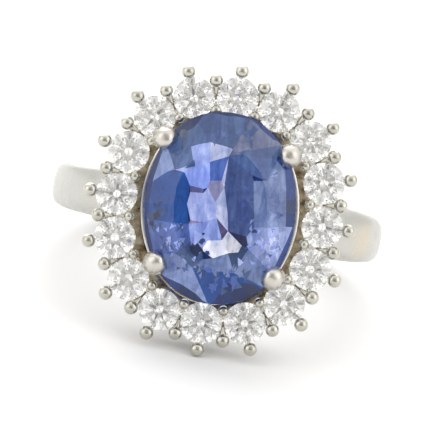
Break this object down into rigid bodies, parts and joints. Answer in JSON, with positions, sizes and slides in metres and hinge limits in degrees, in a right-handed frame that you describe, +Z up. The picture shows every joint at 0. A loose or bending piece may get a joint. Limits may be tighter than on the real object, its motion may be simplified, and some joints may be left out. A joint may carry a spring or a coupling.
{
  "type": "cluster ring",
  "caption": "Finger ring with an oval blue centre stone in claws, inside an oval cluster of round clear stones on a plain tapered shank.",
  "frame": {"origin": "on the surface that the ring lies on, under the middle of its box, with the ring on its side", "axes": "+Z up; the head faces -Y and is turned up by 20 degrees; +X runs across the head; the shank reaches back along +Y"},
  "size_m": [0.022, 0.0262, 0.0179],
  "materials": {
    "white_gold": "satin",
    "sapphire": "polished",
    "diamond": "polished"
  },
  "bodies": {
    "root": {"ring_mount": "white_gold", "sapphire": "sapphire", "diamond_01": "diamond", "diamond_02": "diamond", "diamond_03": "diamond", "diamond_04": "diamond", "diamond_05": "diamond", "diamond_06": "diamond", "diamond_07": "diamond", "diamond_08": "diamond", "diamond_09": "diamond", "diamond_10": "diamond", "diamond_11": "diamond", "diamond_12": "diamond", "diamond_13": "diamond", "diamond_14": "diamond", "diamond_15": "diamond", "diamond_16": "diamond"}
  },
  "joints": []
}
